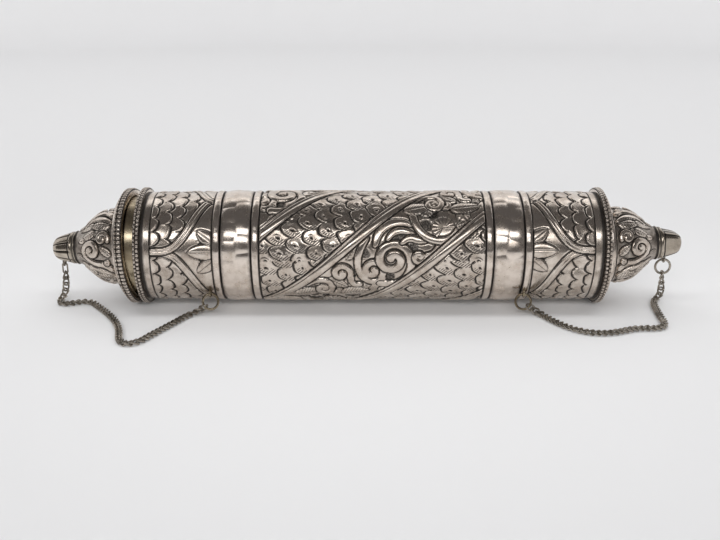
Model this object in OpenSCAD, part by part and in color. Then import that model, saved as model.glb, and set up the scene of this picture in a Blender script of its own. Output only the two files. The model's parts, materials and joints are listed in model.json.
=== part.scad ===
// Mezuzah case: a round silver tube lying on its side, with a flange at each mouth and two domed
// caps that pull out of the mouths. Each cap is tethered to the tube by a fine chain.
//
// Frame: +X along the tube, -Y to the front, +Z up. The origin is on the table, below the
// middle of the tube, so the flanges' rims touch z = 0. All lengths are millimetres.

/* [Tube] */
// Radius of the tube's decorated wall
tube_r = 16; // [15.6:0.1:16.4]
// Thickness of the tube's wall
wall = 0.9; // [0.8:0.1:1]
// Distance from the tube's middle to the outer face of each flange
half_length = 67.9; // [66:0.1:70]
// Radius of the flange at each mouth
flange_r = 17.3; // [17:0.1:17.6]
// Thickness of the flange at each mouth
flange_t = 1.8; // [1.4:0.1:2]
// Half the length of the middle panel
panel_half = 32.3; // [31:0.1:33]
// Width of each raised rib
rib_w = 2.2; // [1.8:0.1:2.4]
// Height of each raised rib over the wall
rib_h = 0.3; // [0.2:0.05:0.5]
// Width of each hammered band between two ribs
band_w = 8.9; // [8:0.1:9.4]
// Crown of each hammered band over the wall
band_crown = 0.25; // [0.1:0.05:0.4]

/* [Sleeves] */
// Radius of the thin sleeve that plugs into each mouth
sleeve_r = 14.5; // [14.2:0.05:14.8]
// Wall thickness of each sleeve
sleeve_wall = 0.6; // [0.5:0.05:0.8]
// Running gap between a sleeve and its mouth
sleeve_gap = 0.08; // [0.04:0.01:0.1]
// How far each sleeve reaches into the tube
sleeve_depth = 7; // [5:0.5:9]
// How far the left sleeve stands out of its mouth
collar_proud = 2.8; // [2.4:0.1:3]

/* [Caps] */
// Radius of the left cap's flange
cap_flange_r = 17.2; // [17:0.1:17.3]
// Thickness of the left cap's rim
cap_rim_t = 2.1; // [1.8:0.1:2.2]
// Radius of the foot that each dome stands on
foot_r = 11.5; // [11:0.1:11.8]
// Height of the left foot
left_foot_h = 1.2; // [1:0.1:1.6]
// Height of the right foot
right_foot_h = 2; // [1.6:0.1:2.4]
// Radius of each dome where it meets its foot
dome_r = 11.4; // [11:0.1:11.8]
// Height of each dome
dome_h = 14.2; // [13.6:0.1:14.6]
// Thickness of the dome's sheet
dome_wall = 0.8; // [0.6:0.05:1]
// Radius of the bud at its base
bud_r = 5.3; // [5:0.1:5.5]
// Length of the bud
bud_h = 7.8; // [7:0.1:8.4]
// Angle at which the left cap rests cocked in its mouth
cap_cock = 5; // [4:0.1:5.5]
// Clear gap between the two left flanges at the point where the cap rocks
rock_gap = 0.3; // [0.25:0.05:0.5]
// Upward lean of the right dome, as it was soldered
dome_lean = 2.5; // [0:0.1:3]

/* [Chains] */
// Radius of the wire of a chain link
wire_r = 0.24; // [0.22:0.01:0.25]
// Width of a chain link
link_w = 1.9; // [1.8:0.05:1.9]
// Number of links of the left chain
left_links = 51; // [51:1:52]
// Number of links of the right chain
right_links = 46; // [46:1:47]
// Radius of the round rings at their wire's centre
ring_r = 2.15; // [2:0.05:2.3]

/* [Hidden] */
$fn = 96;

silver = [0.72, 0.69, 0.65];
dark_silver = [0.45, 0.42, 0.39];
gilt = [0.80, 0.70, 0.45];

axis_z = flange_r;               // the flanges rest on the table
bore_r = tube_r - wall;          // inside of the tube
mouth_r = sleeve_r + sleeve_gap; // hole through each flange
tube_end = half_length - flange_t;
sheet_r = tube_r - 0.1;          // the ogee panels lie a little below the middle panel
band_start = panel_half + rib_w;
rib_2_start = band_start + band_w;
ogee_start = rib_2_start + rib_w; // where each ogee panel begins, after the second rib
panel_end = 63.3;                // where each ogee panel ends in an engraved line
groove = 0.25;                   // half width and depth of that line

// The left cap rocks about a tangent of its rim, low at the back.
rock_dir = 42;                   // how far the rocking point lies below the tube's axis, seen from the end
rock_out = [0, cos(rock_dir), -sin(rock_dir)];
rock_axis = [0, sin(rock_dir), cos(rock_dir)];
rock_at = [-(half_length + rock_gap), 0, axis_z] + cap_flange_r * rock_out;
recess_r = sleeve_r + 0.45;      // the cap's recess goes over the sleeve's end
recess_h = 2.7;
step_r = 15.6;
step_h = 3.2;
plate_r = 15.8;                  // the right cap's base plate
plate_t = 0.7;
dome_taper = 1.6;                // how high up the dome its shoulder lies, more is higher

// Lugs and rings
case_lug_r = 1.15;               // lug loop on the case, at its wire's centre
lug_r = 1;                       // lug loop under a bud
lug_wire = 0.3;
ring_wire = 0.28;
lug_angle = 40;                  // the case's lugs sit this far below the axis, at the front
left_lug_x = -47;
right_lug_x = 44;
lug_stand = 0.6;                 // height of a lug loop's centre over the wall
ring_lean = -12;                 // the case's rings hang a little forward of straight down
left_lug_at = 5.2;               // place of the left bud's lug, from the bud's base
right_lug_at = 3;
bud_loop_drop = 0.55;            // depth of a lug loop's centre under its bud
long_link = 2.5;                 // pitch of the long link under the left bud
link_play = 0.24;                // slack of two links in each other

// Route of each chain, from its case ring over the table and up to the ring under its bud
left_route = [
    [-48.3, -13.4, 2.8], [-50.6, -13.6, 1.4], [-52.8, -15, 0.8], [-54.9, -18.8, 0.8], [-57, -23.5, 0.8],
    [-59, -27.5, 0.8], [-61, -31.5, 0.8], [-62.6, -35.4, 0.8], [-65.8, -37.8, 0.8], [-68.8, -35, 0.8],
    [-69.8, -29.5, 0.8], [-72, -22.8, 0.8], [-75, -17.2, 0.8], [-78, -12.7, 0.8], [-81.5, -8, 0.8],
    [-84, -4.6, 0.8], [-86.8, -3.8, 0.8], [-89.6, -5.6, 0.8], [-92.6, -6.2, 0.8], [-94.2, -3.8, 0.8],
    [-93.6, -1, 1.2], [-93.3, 0.6, 2.8], [-93.2, 1.3, 5.2], [-93.2, 1.6, 8.2]];
right_route = [
    [45.3, -13.4, 2.8], [47.5, -13.7, 1.4], [49.2, -15.2, 0.8], [50.8, -18.8, 0.8], [53, -22.7, 0.8],
    [55.2, -25.6, 0.8], [57.5, -27.9, 0.8], [60, -29.2, 0.8], [62.6, -29.7, 0.8], [65.5, -29.5, 0.8],
    [68.5, -28.5, 0.8], [71.5, -27, 0.8], [74, -26, 0.8], [77, -26, 0.8], [80.2, -26, 0.8],
    [82.8, -23.4, 0.8], [83.2, -16.5, 0.8], [83.8, -10.6, 0.8], [84.6, -5, 0.8], [86, -2.2, 0.8],
    [87.6, -1.2, 1.6], [88, -0.7, 3.6], [88, -0.2, 6.2], [88, 0, 8.75]];
// The chains are cut into rigid stretches after these links, where the joints are. The last
// stretch rises to the bud: the left one pivots on the table, to follow the cap as it rocks, and
// the right one rides with its cap.
left_cuts = [0, 7, 14, 21, 28, 36, 42, left_links];
right_cuts = [0, 7, 14, 21, 28, 34, 39, right_links];

// Cuts the corners off a route, so that no link turns sharply from the next
function cut_corners(route) = concat(
    [route[0]],
    [for (i = [0:len(route) - 2]) let (p = route[i], q = route[i + 1])
        each [0.75 * p + 0.25 * q, 0.25 * p + 0.75 * q]],
    [route[len(route) - 1]]);
function distances(route, i = 0, s = 0) =
    i == len(route) - 1 ? [s]
    : concat([s], distances(route, i + 1, s + norm(route[i + 1] - route[i])));
function along(route, marks, s) =
    [for (k = [0:2]) lookup(s, [for (i = [0:len(route) - 1]) [marks[i], route[i][k]]])];
// Outlines of a cap, u from the foot outwards and w from the bud's base outwards
function dome_outline(u) = bud_r + (dome_r - bud_r) * (1 + cos(180 * pow(u / dome_h, dome_taper))) / 2;
function bud_outline(w) = (bud_r - 0.27 * w) * pow(1 - pow(w / bud_h, 8), 0.5);
// A point of the straight left cap, after the cap has rocked back to its resting place
function rocked(p) =
    let (r = p - rock_at, k = rock_axis, a = -cap_cock)
    rock_at + r * cos(a) + cross(k, r) * sin(a) + k * (k * r) * (1 - cos(a));
// A point at height u over the right base plate and r below the right dome's axis
function leaned(u, r) =
    [half_length + plate_t + u * cos(dome_lean) + r * sin(dome_lean), 0,
     axis_z + u * sin(dome_lean) - r * cos(dome_lean)];
function wall_point(x, angle, r) = [x, -r * cos(angle), axis_z - r * sin(angle)];

module along_x(x = 0) {
    translate([x, 0, axis_z]) rotate([0, 90, 0]) children();
}

// Ring round the tube's axis, from x to x + length
module ring_disc(x, length, outer, inner) {
    along_x(x) difference() {
        cylinder(h = length, r = outer);
        translate([0, 0, -1]) cylinder(h = length + 2, r = inner);
    }
}

module torus(r, wire) {
    rotate_extrude() translate([r, 0]) circle(r = wire, $fn = 24);
}

// Half of the tube's outline, from the middle to the end, as [radius, distance] points
function tube_outline() =
    concat(
        [[tube_r, 0], [tube_r, panel_half]],
        [for (i = [0:6]) [tube_r + rib_h * sin(30 * i), panel_half + rib_w * i / 6]],
        [for (i = [1:7]) [tube_r + band_crown * sin(22.5 * i), band_start + band_w * i / 8]],
        [for (i = [0:6]) [tube_r + rib_h * sin(30 * i), rib_2_start + rib_w * i / 6]],
        [[sheet_r, ogee_start], [sheet_r, panel_end - groove], [sheet_r - groove, panel_end],
         [sheet_r, panel_end + groove], [sheet_r, tube_end]]);

module case_tube() {
    half = tube_outline();
    far = [for (i = [len(half) - 1:-1:1]) [half[i].x, -half[i].y]];
    color(silver) along_x()
        rotate_extrude() polygon(concat(
            far, half, [[bore_r, tube_end], [bore_r, -tube_end]]));
}

module left_body_flange() {
    color(silver) ring_disc(-half_length, flange_t, flange_r, mouth_r);
}

module right_body_flange() {
    color(silver) ring_disc(tube_end, flange_t, flange_r, mouth_r);
}

// Wire loop soldered to the wall, in a plane across the tube
module case_lug(x) {
    color(dark_silver) difference() {
        translate(wall_point(x, lug_angle, tube_r + lug_stand)) rotate([0, 90, 0])
            torus(case_lug_r, lug_wire);
        along_x(x - 2 * lug_wire)
            cylinder(h = 4 * lug_wire, r = abs(x) > ogee_start ? sheet_r : tube_r + rib_h);
    }
}

module left_case_lug() case_lug(left_lug_x);
module right_case_lug() case_lug(right_lug_x);

// Round ring that hangs on a case lug's wire, facing the front
function ring_sag(lug) = lug - lug_wire - ring_wire - 0.05;
module case_ring(x) {
    color(gilt) translate(wall_point(x, lug_angle, tube_r + lug_stand) - [0, 0, ring_sag(case_lug_r)])
        rotate([ring_lean, 0, 0]) translate([0, 0, -ring_r]) rotate([90, 0, 0]) torus(ring_r, ring_wire);
}

module left_case_ring() case_ring(left_lug_x);
module right_case_ring() case_ring(right_lug_x);

module left_collar() {
    color(gilt) ring_disc(
        -(half_length + collar_proud), collar_proud + sleeve_depth, sleeve_r, sleeve_r - sleeve_wall);
}

module right_cap_sleeve() {
    color(gilt) ring_disc(half_length - sleeve_depth, sleeve_depth, sleeve_r, sleeve_r - sleeve_wall);
}

// Puts a cap piece, drawn along +Z from the plane of its flange's back face, on the left mouth.
module on_left_cap() {
    translate(rock_at) rotate(a = -cap_cock, v = rock_axis) translate(-rock_at)
        translate([-(half_length + rock_gap), 0, axis_z]) rotate([0, -90, 0]) children();
}

module left_cap_flange() {
    color(silver) on_left_cap() difference() {
        union() {
            cylinder(h = cap_rim_t, r = cap_flange_r);
            cylinder(h = step_h, r = step_r);
        }
        translate([0, 0, -1]) cylinder(h = recess_h + 1, r = recess_r);
        cylinder(h = 2 * step_h, r = foot_r - dome_wall);
    }
}

module left_cap_foot() {
    color(silver) on_left_cap() translate([0, 0, step_h]) difference() {
        cylinder(h = left_foot_h, r = foot_r);
        translate([0, 0, -1]) cylinder(h = left_foot_h + 2, r = foot_r - dome_wall);
    }
}

module dome() {
    steps = 14;
    rotate_extrude() polygon(concat(
        [for (i = [0:steps]) [dome_outline(dome_h * i / steps), dome_h * i / steps]],
        [[0, dome_h], [0, dome_h - dome_wall]],
        [for (i = [steps:-1:0])
            [dome_outline(dome_h * i / steps) - dome_wall, (dome_h - dome_wall) * i / steps]]));
}

module bud() {
    steps = 12;
    rotate_extrude() polygon(concat(
        [[0, 0]], [for (i = [0:steps]) let (w = bud_h * sin(90 * i / steps)) [max(bud_outline(w), 0), w]]));
}

module left_cap_dome() {
    color(silver) on_left_cap() translate([0, 0, step_h + left_foot_h]) dome();
}

module left_cap_bud() {
    color(dark_silver) on_left_cap() translate([0, 0, step_h + left_foot_h + dome_h]) bud();
}

// Right cap: its base plate seats on the right flange, and the dome on it leans a little upwards.
module on_right_cap() {
    along_x(half_length + plate_t) rotate([0, -dome_lean, 0]) children();
}

module right_cap_foot() {
    color(silver) difference() {
        union() {
            along_x(half_length) cylinder(h = plate_t, r = plate_r);
            along_x(half_length + plate_t / 2) rotate([0, -dome_lean, 0])
                cylinder(h = plate_t / 2 + right_foot_h, r = foot_r);
        }
        along_x(half_length - 1) cylinder(h = 1 + plate_t, r = foot_r - dome_wall);
        on_right_cap() translate([0, 0, -1]) cylinder(h = right_foot_h + 3, r = foot_r - dome_wall);
    }
}

module right_cap_dome() {
    color(silver) on_right_cap() translate([0, 0, right_foot_h]) dome();
}

module right_cap_bud() {
    color(dark_silver) on_right_cap() translate([0, 0, right_foot_h + dome_h]) bud();
}

// Places under each bud where its lug is soldered
left_bud_low = rocked([
    -(half_length + rock_gap + step_h + left_foot_h + dome_h + left_lug_at), 0,
    axis_z - bud_outline(left_lug_at)]);
right_bud_low = leaned(right_foot_h + dome_h + right_lug_at, bud_outline(right_lug_at));

module bud_lug(at) {
    color(dark_silver) translate(at - [0, 0, bud_loop_drop]) rotate([0, 90, 0]) torus(lug_r, lug_wire);
}

module left_bud_lug() {
    difference() {
        bud_lug(left_bud_low);
        on_left_cap() translate([0, 0, step_h + left_foot_h + dome_h]) bud();
    }
}

module right_bud_lug() {
    difference() {
        bud_lug(right_bud_low);
        on_right_cap() translate([0, 0, right_foot_h + dome_h]) bud();
    }
}

// The left bud carries one long link, the right bud a round ring.
module left_bud_ring() {
    top = lug_wire + wire_r + 0.05 - lug_r;
    half = (long_link + link_play) / 2 + wire_r;
    color(dark_silver) translate(left_bud_low + [0, 0, top - bud_loop_drop - half])
        rotate([90, 90, 0]) link_shape(long_link);
}

module right_bud_ring() {
    color(dark_silver) translate(right_bud_low - [0, 0, bud_loop_drop + ring_sag(lug_r) + ring_r])
        rotate([90, 0, 0]) torus(ring_r, ring_wire);
}

// One chain link along X, centred, for links set at a given pitch
link_round = link_w / 2 - wire_r;
leg_lap = 0.08;                  // how far a link's straight legs run into its round ends
module link_shape(pitch) {
    straight = pitch + link_play + 2 * wire_r - 2 * link_round;
    for (side = [-1, 1]) {
        translate([side * straight / 2, 0, 0]) rotate([0, 0, -90 * side])
            rotate_extrude(angle = 180) translate([link_round, 0]) circle(r = wire_r, $fn = 24);
        translate([-straight / 2 - leg_lap, side * link_round, 0]) rotate([0, 90, 0])
            cylinder(h = straight + 2 * leg_lap, r = wire_r - 0.008, $fn = 24);
    }
}

module link(from, to, roll) {
    d = to - from;
    translate((from + to) / 2)
        rotate([0, -asin(d.z / norm(d)), atan2(d.y, d.x)])
        rotate([roll, 0, 0])
        link_shape(norm(d));
}

// Links lie at 45 degrees to the table, in turn to either side. The first and the last links
// turn square to the rings that they hang in.
function link_roll(i, count) =
    90 * (i % 2) + 45 * min(1, i / 3) + (count % 2 == 0 ? -45 : 45) * max(0, (i - count + 4) / 3);

// Links number first to last - 1 of a chain that holds count links along its route
module chain(corners, count, first, last) {
    route = cut_corners(cut_corners(cut_corners(corners)));
    marks = distances(route);
    pitch = marks[len(marks) - 1] / count;
    for (i = [first:last - 1])
        link(along(route, marks, i * pitch), along(route, marks, (i + 1) * pitch), link_roll(i, count));
}

module left_chain(i) {
    color(dark_silver) chain(left_route, left_links, left_cuts[i - 1], left_cuts[i]);
}

module right_chain(i) {
    color(dark_silver) chain(right_route, right_links, right_cuts[i - 1], right_cuts[i]);
}

module left_chain_drop() left_chain(7);
module right_chain_drop() right_chain(7);

case_tube();
left_body_flange();
right_body_flange();
left_case_lug();
right_case_lug();
left_collar();
left_cap_flange();
left_cap_foot();
left_cap_dome();
left_cap_bud();
left_bud_lug();
left_bud_ring();
left_chain_drop();
right_cap_sleeve();
right_cap_foot();
right_cap_dome();
right_cap_bud();
right_bud_lug();
right_bud_ring();
right_chain_drop();
left_case_ring();
right_case_ring();
for (i = [1:6]) {
    left_chain(i);
    right_chain(i);
}
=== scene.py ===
"""Mezuzah case: a repousse silver tube with flanged mouths, two domed caps and their fine chains.

Lengths are millimetres in the row's own frame, and mesh_object() turns them into metres. Angles
round the tube run from the front (-Y) upwards. Reliefs are height maps over (distance along,
distance round). The stage and lights are in metres.
"""

import json
import math

import bmesh
import bpy
import numpy as np
from mathutils import Matrix, Vector

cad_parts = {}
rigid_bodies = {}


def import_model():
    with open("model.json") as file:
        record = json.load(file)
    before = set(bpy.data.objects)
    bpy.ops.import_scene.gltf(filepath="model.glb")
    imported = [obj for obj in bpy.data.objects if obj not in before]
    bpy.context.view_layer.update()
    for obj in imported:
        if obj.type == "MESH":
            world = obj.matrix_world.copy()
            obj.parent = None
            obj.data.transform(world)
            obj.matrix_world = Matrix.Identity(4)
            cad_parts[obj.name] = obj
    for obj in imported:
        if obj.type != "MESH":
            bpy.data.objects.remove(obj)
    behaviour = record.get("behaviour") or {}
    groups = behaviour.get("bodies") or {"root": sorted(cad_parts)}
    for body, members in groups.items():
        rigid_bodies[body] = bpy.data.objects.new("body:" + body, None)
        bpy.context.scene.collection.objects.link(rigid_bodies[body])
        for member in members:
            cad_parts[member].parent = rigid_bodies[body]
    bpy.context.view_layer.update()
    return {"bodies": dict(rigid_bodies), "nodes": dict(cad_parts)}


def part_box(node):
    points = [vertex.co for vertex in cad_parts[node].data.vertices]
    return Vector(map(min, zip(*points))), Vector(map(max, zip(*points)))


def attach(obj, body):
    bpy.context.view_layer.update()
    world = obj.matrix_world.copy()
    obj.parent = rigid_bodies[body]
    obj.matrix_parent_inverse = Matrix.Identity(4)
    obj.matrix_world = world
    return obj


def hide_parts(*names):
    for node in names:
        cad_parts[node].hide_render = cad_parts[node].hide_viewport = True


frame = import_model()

MM = 0.001
TAU = 2 * math.pi

# ---------------- sizes, as in the CAD model


def cad_box(node):
    """Lowest and highest corners of a CAD node, in millimetres."""
    low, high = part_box(node)
    return [c / MM for c in low], [c / MM for c in high]


FLANGE_LOW, FLANGE_HIGH = cad_box("right_body_flange")
HALF_LENGTH = FLANGE_HIGH[0]
TUBE_END = FLANGE_LOW[0]
FLANGE_R = (FLANGE_HIGH[2] - FLANGE_LOW[2]) / 2
AXIS_Z = (FLANGE_HIGH[2] + FLANGE_LOW[2]) / 2
TUBE_R = 16.0
BORE_R = 15.1
MOUTH_R = 14.58
PANEL_HALF = 32.3
RIB_W = 2.2
BAND_W = 8.9
BAND_START = PANEL_HALF + RIB_W
RIB_2 = BAND_START + BAND_W
OGEE_START = RIB_2 + RIB_W
PANEL_END = 63.3
SHEET_R = 15.9
AROUND = TAU * TUBE_R

CAP_FLANGE_R = 17.2
CAP_RIM_T = 2.1
STEP_R, STEP_H = 15.6, 3.2
RECESS_R, RECESS_H = 14.95, 2.7
PLATE_R, PLATE_T = 15.8, 0.7
FOOT_R, DOME_WALL = 11.5, 0.8
LEFT_FOOT_H, RIGHT_FOOT_H = 1.2, 2.0
DOME_R, DOME_H = 11.4, 14.2
BUD_R, BUD_H = 5.3, 7.8
ROCK_GAP = 0.3
ROCK_DIR = math.radians(42)
CAP_COCK = math.radians(5)
DOME_LEAN = math.radians(2.5)
VIEW_TILT = math.radians(18)  # the camera looks down on the case by this much


# ---------------- mesh helpers


def mesh_object(name, verts, faces, body, material, **fields):
    """Smooth object from an (n, 3) array in millimetres and an (m, 4) array of faces."""
    verts = np.asarray(verts, dtype=np.float64) * MM
    faces = np.asarray(faces, dtype=np.int32)
    sides = faces.shape[1]
    mesh = bpy.data.meshes.new(name)
    mesh.vertices.add(len(verts))
    mesh.vertices.foreach_set("co", verts.ravel())
    mesh.loops.add(faces.size)
    mesh.loops.foreach_set("vertex_index", faces.ravel())
    mesh.polygons.add(len(faces))
    mesh.polygons.foreach_set("loop_start", np.arange(0, faces.size, sides, dtype=np.int32))
    mesh.polygons.foreach_set("loop_total", np.full(len(faces), sides, dtype=np.int32))
    mesh.polygons.foreach_set("use_smooth", np.ones(len(faces), dtype=bool))
    for field, values in fields.items():
        layer = mesh.attributes.new(field, "FLOAT", "POINT")
        layer.data.foreach_set("value", np.asarray(values, dtype=np.float32).ravel())
    mesh.update(calc_edges=True)
    mesh.validate()
    obj = bpy.data.objects.new(name, mesh)
    bpy.context.scene.collection.objects.link(obj)
    obj.data.materials.append(material)
    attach(obj, body)
    return obj


def lathe_faces(rows, columns, closed=True):
    """Quads over a grid whose columns run all the way round, as its rows do too if it is closed."""
    i = np.arange(rows if closed else rows - 1)[:, None] * columns
    j = np.arange(columns)[None, :]
    i_next, j_next = (i + columns) % (rows * columns), (j + 1) % columns
    quads = np.broadcast_arrays(i + j, i_next + j, i_next + j_next, i + j_next)
    return np.stack(quads, -1).reshape(-1, 4)


def lathe(name, along, radius, body, material, matrix=None, side=1, closed=True, cavity=None):
    """Turned piece about the tube's axis. along and radius are arrays of (rows, columns). The rows
    go outwards along the outside and then back inside. side -1 mirrors the piece to the left."""
    along, radius = np.broadcast_arrays(np.asarray(along, float), np.asarray(radius, float))
    rows, columns = along.shape
    cavity = np.zeros((rows, columns)) if cavity is None else np.broadcast_to(cavity, (rows, columns))
    if side < 0:
        along, radius, cavity = -along[::-1], radius[::-1], cavity[::-1]
    turn = np.arange(columns) / columns * TAU
    points = np.stack([along, -radius * np.cos(turn), AXIS_Z + radius * np.sin(turn)], -1).reshape(-1, 3)
    if matrix is not None:
        m = np.array(matrix)
        points = points @ m[:3, :3].T + m[:3, 3]
    obj = mesh_object(name, points, lathe_faces(rows, columns, closed), body, material, cavity=cavity)
    if radius.min() < 1e-4:
        weld_poles(obj)
    return obj


def weld_poles(obj):
    """Joins the vertices that meet on the axis into one."""
    bm = bmesh.new()
    bm.from_mesh(obj.data)
    bmesh.ops.remove_doubles(bm, verts=bm.verts, dist=1e-7)
    bm.to_mesh(obj.data)
    bm.free()


def turned(about, angle, axis):
    """Matrix in millimetres that turns by angle about an axis through a point."""
    there = Matrix.Translation(Vector(about))
    return there @ Matrix.Rotation(angle, 4, Vector(axis)) @ there.inverted()


ROCK_AT = (
    -(HALF_LENGTH + ROCK_GAP),
    CAP_FLANGE_R * math.cos(ROCK_DIR),
    AXIS_Z - CAP_FLANGE_R * math.sin(ROCK_DIR),
)
LEFT_CAP = turned(ROCK_AT, -CAP_COCK, (0, math.sin(ROCK_DIR), math.cos(ROCK_DIR)))
RIGHT_CAP = turned((HALF_LENGTH + PLATE_T, 0, AXIS_Z), -DOME_LEAN, (0, 1, 0))


# ---------------- reliefs


def bump(d, width):
    """Smooth hill, 1 at d = 0 and about 0.02 at two widths."""
    return np.exp(-((d / width) ** 2))


def ridge(d, half):
    """Rounded ridge of the given half width."""
    return np.sqrt(np.clip(1 - (d / half) ** 2, 0, 1))


def smooth(edge_0, edge_1, x):
    """Soft step from 0 at edge_0 to 1 at edge_1."""
    t = np.clip((x - edge_0) / (edge_1 - edge_0), 0, 1)
    return t * t * (3 - 2 * t)


class Relief:
    """Height and painted shade (dark) over a grid: a along the piece, s round it, both in millimetres."""

    def __init__(self, a, columns, around):
        self.a = np.asarray(a, float)[:, None] + np.zeros((1, columns))
        self.s = np.zeros((len(a), 1)) + (np.arange(columns) / columns * around)[None, :]
        self.around = around
        self.h = np.zeros_like(self.a)
        self.dark = np.zeros_like(self.a)

    def window(self, a0, a1, s0, s1):
        """Slices of the grid that hold a box, with the s to use there, across the seam."""
        rows = np.where((self.a[:, 0] >= a0) & (self.a[:, 0] <= a1))[0]
        if not len(rows):
            return
        rows = slice(rows[0], rows[-1] + 1)
        for k in (-2, -1, 0, 1, 2):
            s = self.s[0] + k * self.around
            columns = np.where((s >= s0) & (s <= s1))[0]
            if len(columns):
                columns = slice(columns[0], columns[-1] + 1)
                yield (rows, columns), self.a[rows, columns], self.s[rows, columns] + k * self.around

    def stroke(self, points, half, height, groove, double=False, taper=False, dark=0.9):
        """Raised line along points with a chased groove on either side, darkened with painted shade, and
        painted shade down the middle of a double line.
        """
        points = np.asarray(points, float)
        reach = half + 0.7
        low, high = points.min(0) - reach, points.max(0) + reach
        for at, a, s in self.window(low[0], high[0], low[1], high[1]):
            d, t = distance(points, a, s)
            w = half * (0.35 + 0.65 * np.sin(np.pi * np.clip(0.1 + 0.85 * t, 0, 1))) if taper else half
            body = ridge(d, w) ** 0.7 * height
            if double:
                body = body * (1 - 0.75 * bump(d, 0.16))
                self.dark[at] = np.maximum(self.dark[at], 0.55 * bump(d, 0.13))
            inside = d < w
            edge = smooth(0.58, 0.16, d - w)
            self.h[at] = np.where(inside, body, self.h[at] - groove * edge)
            self.dark[at] = np.where(inside, 0, np.maximum(self.dark[at], dark * edge))

    def boss(self, a0, s0, radius, height, petals=0):
        """Round boss with a pit in its middle, and with petals if it has any."""
        for at, a, s in self.window(a0 - 2 * radius, a0 + 2 * radius, s0 - 2 * radius, s0 + 2 * radius):
            r = np.hypot(a - a0, s - s0)
            turn = np.arctan2(s - s0, a - a0)
            inside = r < radius
            shape = ridge(r, radius) * height
            if petals:
                lobes = np.abs(np.sin(petals * turn / 2))
                shape = shape * (0.45 + 0.55 * lobes) + 0.6 * height * ridge(r, radius * 0.35)
                self.dark[at] = np.where(inside & (r > radius * 0.35), 0.75 * (1 - lobes) ** 2, self.dark[at])
            shape = shape - height * 0.9 * bump(r, radius * 0.22)
            self.h[at] = np.where(inside, shape, self.h[at] - 0.12 * bump(r - radius - 0.1, 0.16))
            # painted shade in the pit, between the petals and round the boss's edge
            edge = bump(r - radius - 0.08, 0.16)
            pit = np.maximum(self.dark[at] * (petals > 0), 0.8 * bump(r, radius * 0.2))
            self.dark[at] = np.where(inside, pit, np.maximum(self.dark[at], edge))


def distance(points, a, s):
    """Distance to a line of points, and how far along it the nearest place is, from 0 to 1."""
    best = np.full(a.shape, 1e9)
    t_best = np.zeros(a.shape)
    n = len(points) - 1
    for k in range(n):
        p, q = points[k], points[k + 1]
        d = q - p
        length = max(float(d @ d), 1e-12)
        t = np.clip(((a - p[0]) * d[0] + (s - p[1]) * d[1]) / length, 0, 1)
        r = np.hypot(a - p[0] - t * d[0], s - p[1] - t * d[1])
        near = r < best
        best = np.where(near, r, best)
        t_best = np.where(near, (k + t) / n, t_best)
    return best, t_best


def cut_corners(route):
    """Each leg's quarter points, with the two ends kept."""
    cut = [route[0]]
    for p, q in zip(route[:-1], route[1:]):
        cut += [0.75 * p + 0.25 * q, 0.25 * p + 0.75 * q]
    return np.array(cut + [route[-1]])


def curve(points, rounds=2):
    """Smooth line that follows the points."""
    points = np.array(points, float)
    for _ in range(rounds):
        points = cut_corners(points)
    return points


def spiral(centre, radius, start, turns, hand):
    """Points along a volute that winds in from a start angle in degrees. hand is 1 or -1."""
    t = np.linspace(0, 1, 41)
    inner = 0.12
    r = radius * ((1 - t) ** 0.85 * (1 - inner) + inner)
    angle = math.radians(start) + hand * TAU * turns * t
    return np.stack([centre[0] + r * np.cos(angle), centre[1] + r * np.sin(angle)], -1)


def scales(r, length, count, skew, lift=0.34, dots=True):
    """Overlapping scales over a whole relief. Their blunt free ends point to -a and stand proud,
    in rows of count round the piece; skew is the rows' climb in one turn. Returns height, and painted shade
    under the free ends, in the dots and in their hatching."""
    wander = 0.05 * np.sin(r.a * 0.9 + r.s * 0.5) + 0.05 * np.sin(r.s * 1.1 - r.a * 0.4)
    rise = r.a / length + skew * r.s / r.around + wander
    width = r.around / count
    into = np.full(r.a.shape, np.inf)
    aside = np.zeros(r.a.shape)
    gap = np.full(r.a.shape, np.inf)
    for step in (2, 1, 0, -1):
        row = np.floor(rise) + step
        sideways = count * r.s / r.around + 0.5 * np.mod(row, 2)
        off = sideways - np.round(sideways)
        bow = np.clip(1 - np.abs(2 * off) ** 2.6, 0, 1) ** 0.6 + 0.3 * off
        past = (rise - row + 0.52 * bow) * length
        on_top = (past >= 0) & (into == np.inf)
        into = np.where(on_top, past, into)
        aside = np.where(on_top, off * width, aside)
        gap = np.minimum(gap, np.where(past < 0, -past * (0.5 + 0.5 * bow), np.inf))
    swell = np.sqrt(np.clip(1 - (1.6 * aside / width) ** 2, 0, 1))
    h = lift * np.exp(-into / (0.55 * length)) * (0.45 + 0.55 * swell) * smooth(-0.15, 0.4, into)
    h -= 0.26 * bump(gap - 0.15, 0.36)
    dark = smooth(0.75, 0.35, gap)
    if dots:
        ring = np.hypot(into - 0.52 * length, aside)
        h += 0.12 * bump(ring - 0.7, 0.26) - 0.32 * bump(ring, 0.4)
        dark = np.maximum(dark, 1.1 * bump(ring, 0.4))
        field = smooth(0.3, 0.6, into) * smooth(0.5, -0.2, aside)
        field = field * smooth(0.75, 1.1, ring) * (into < 0.8 * length)
        hatch = 0.5 + 0.5 * np.cos(TAU * (r.a * 0.62 - r.s * 0.79) / 0.62)
        h -= 0.08 * hatch * field
        dark = np.maximum(dark, 0.8 * hatch**1.5 * field)
    return h, dark


# ---------------- materials


def nodes_of(material):
    """Nodes and links of a material, and its shader."""
    material.use_nodes = True
    tree = material.node_tree
    return tree.nodes, tree.links, tree.nodes["Principled BSDF"]


def put(node, **values):
    """Sets inputs of a node, each named with _ for its spaces."""
    for name, value in values.items():
        node.inputs[name.replace("_", " ")].default_value = value


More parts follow.
